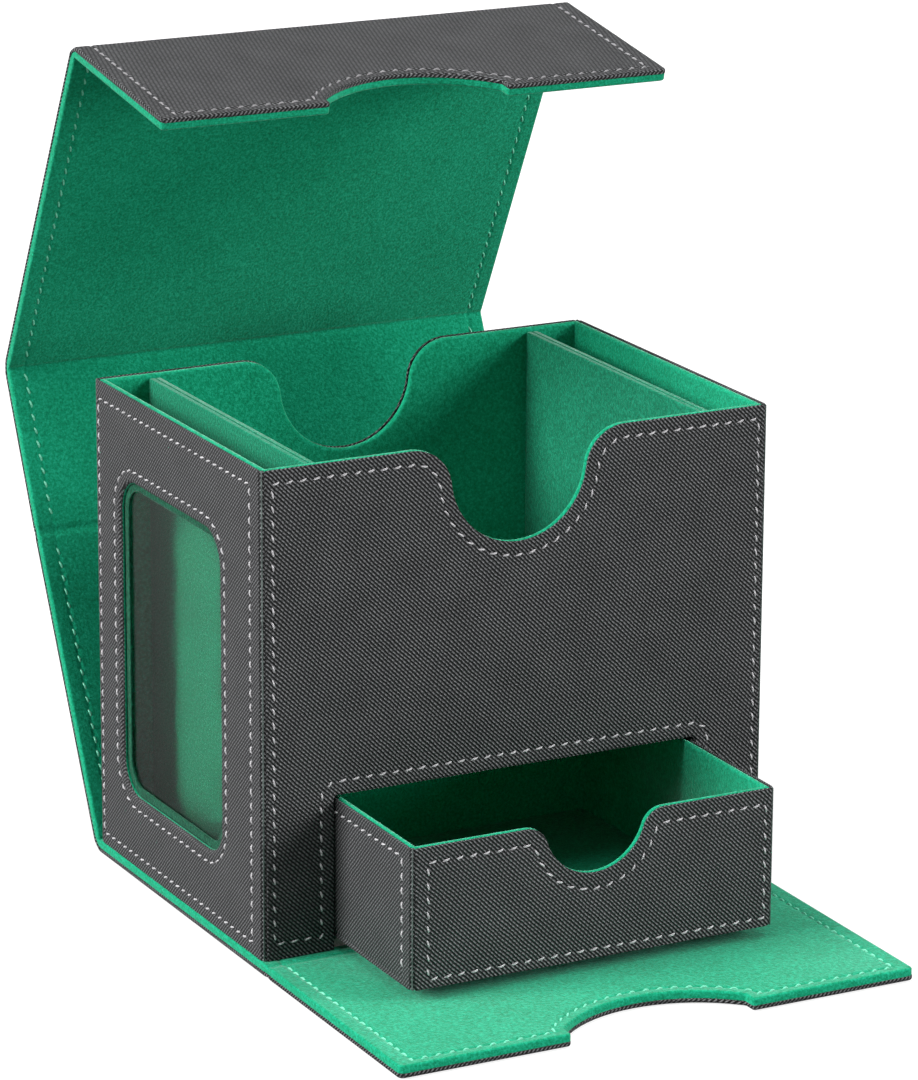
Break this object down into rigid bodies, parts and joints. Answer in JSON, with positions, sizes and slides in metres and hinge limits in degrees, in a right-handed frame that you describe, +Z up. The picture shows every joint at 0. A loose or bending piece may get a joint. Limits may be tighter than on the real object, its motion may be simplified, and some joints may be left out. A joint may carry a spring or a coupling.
{
  "type": "card deck box",
  "caption": "Lined card deck box with side windows, pull-out dice drawer and a wrap-around cover that folds shut over it with magnetic flaps.",
  "frame": {"origin": "under the middle of the box, on the underside of the cover base panel, at the level of the table", "axes": "+X to the right along the front wall, +Y to the back wall and the cover hinge, +Z up"},
  "size_m": [0.1306, 0.2148, 0.196],
  "materials": {
    "leather_cover": "textured black imitation leather",
    "suede_lining": "emerald green microfibre suede",
    "greyboard": "grey pressed board",
    "clear_plastic": "clear glossy sheet",
    "magnet": "nickel plated"
  },
  "bodies": {
    "box": {"back_board": "greyboard", "back_crease": "leather_cover", "back_leather": "leather_cover", "back_lining": "suede_lining", "base_board": "greyboard", "base_leather": "leather_cover", "base_lining": "suede_lining", "floor_board": "greyboard", "floor_lining": "suede_lining", "front_board": "greyboard", "front_crease": "leather_cover", "front_leather": "leather_cover", "front_lining": "suede_lining", "front_wall_magnets": "magnet", "left_board": "greyboard", "left_divider_board": "greyboard", "left_divider_lining": "suede_lining", "left_leather": "leather_cover", "left_lining": "suede_lining", "left_window_frame": "suede_lining", "left_window_pane": "clear_plastic", "right_board": "greyboard", "right_divider_board": "greyboard", "right_divider_lining": "suede_lining", "right_leather": "leather_cover", "right_lining": "suede_lining", "right_window_frame": "suede_lining", "right_window_pane": "clear_plastic", "shelf_board": "greyboard", "shelf_lining": "suede_lining"},
    "drawer": {"drawer_back_board": "greyboard", "drawer_floor_board": "greyboard", "drawer_front_board": "greyboard", "drawer_front_leather": "leather_cover", "drawer_left_board": "greyboard", "drawer_lining": "suede_lining", "drawer_right_board": "greyboard", "drawer_side_leather": "leather_cover"},
    "lower_flap": {"lower_flap_board": "greyboard", "lower_flap_leather": "leather_cover", "lower_flap_lining": "suede_lining", "lower_flap_magnets": "magnet"},
    "back_lower": {"back_lower_board": "greyboard", "back_lower_leather": "leather_cover", "back_lower_lining": "suede_lining", "middle_crease": "leather_cover"},
    "back_upper": {"back_upper_board": "greyboard", "back_upper_leather": "leather_cover", "back_upper_lining": "suede_lining", "lid_crease": "leather_cover"},
    "lid": {"flap_crease": "leather_cover", "lid_board": "greyboard", "lid_leather": "leather_cover", "lid_lining": "suede_lining"},
    "upper_flap": {"upper_flap_board": "greyboard", "upper_flap_leather": "leather_cover", "upper_flap_lining": "suede_lining", "upper_flap_magnets": "magnet"}
  },
  "joints": [
    {"name": "drawer_slide", "type": "slide", "parent": "box", "child": "drawer", "axis": [0, -1, 0], "range_m": [-0.0375, 0.03]},
    {"name": "lower_flap_hinge", "type": "hinge", "parent": "box", "child": "lower_flap", "pos_m": [0, -0.0482, 0.0015], "axis": [-1, 0, 0], "range_deg": [-90, 2]},
    {"name": "back_hinge", "type": "hinge", "parent": "box", "child": "back_lower", "pos_m": [0, 0.0475, 0.0015], "axis": [1, 0, 0], "range_deg": [-35.5, 26.3]},
    {"name": "back_crease", "type": "hinge", "parent": "back_lower", "child": "back_upper", "pos_m": [0, 0.08175, 0.0708], "axis": [1, 0, 0], "range_deg": [-1.9, 2.6]},
    {"name": "lid_hinge", "type": "hinge", "parent": "back_upper", "child": "lid", "pos_m": [0, 0.09896, 0.10856], "axis": [1, 0, 0], "range_deg": [-51.8, 38.4]},
    {"name": "upper_flap_hinge", "type": "hinge", "parent": "lid", "child": "upper_flap", "pos_m": [0, 0.05462, 0.19484], "axis": [1, 0, 0], "range_deg": [-72, 18]}
  ],
  "couplings": [
    {"joint": "back_crease", "follows": "back_hinge", "ratio": -0.068441},
    {"joint": "lid_hinge", "follows": "back_hinge", "ratio": 1.4563}
  ]
}
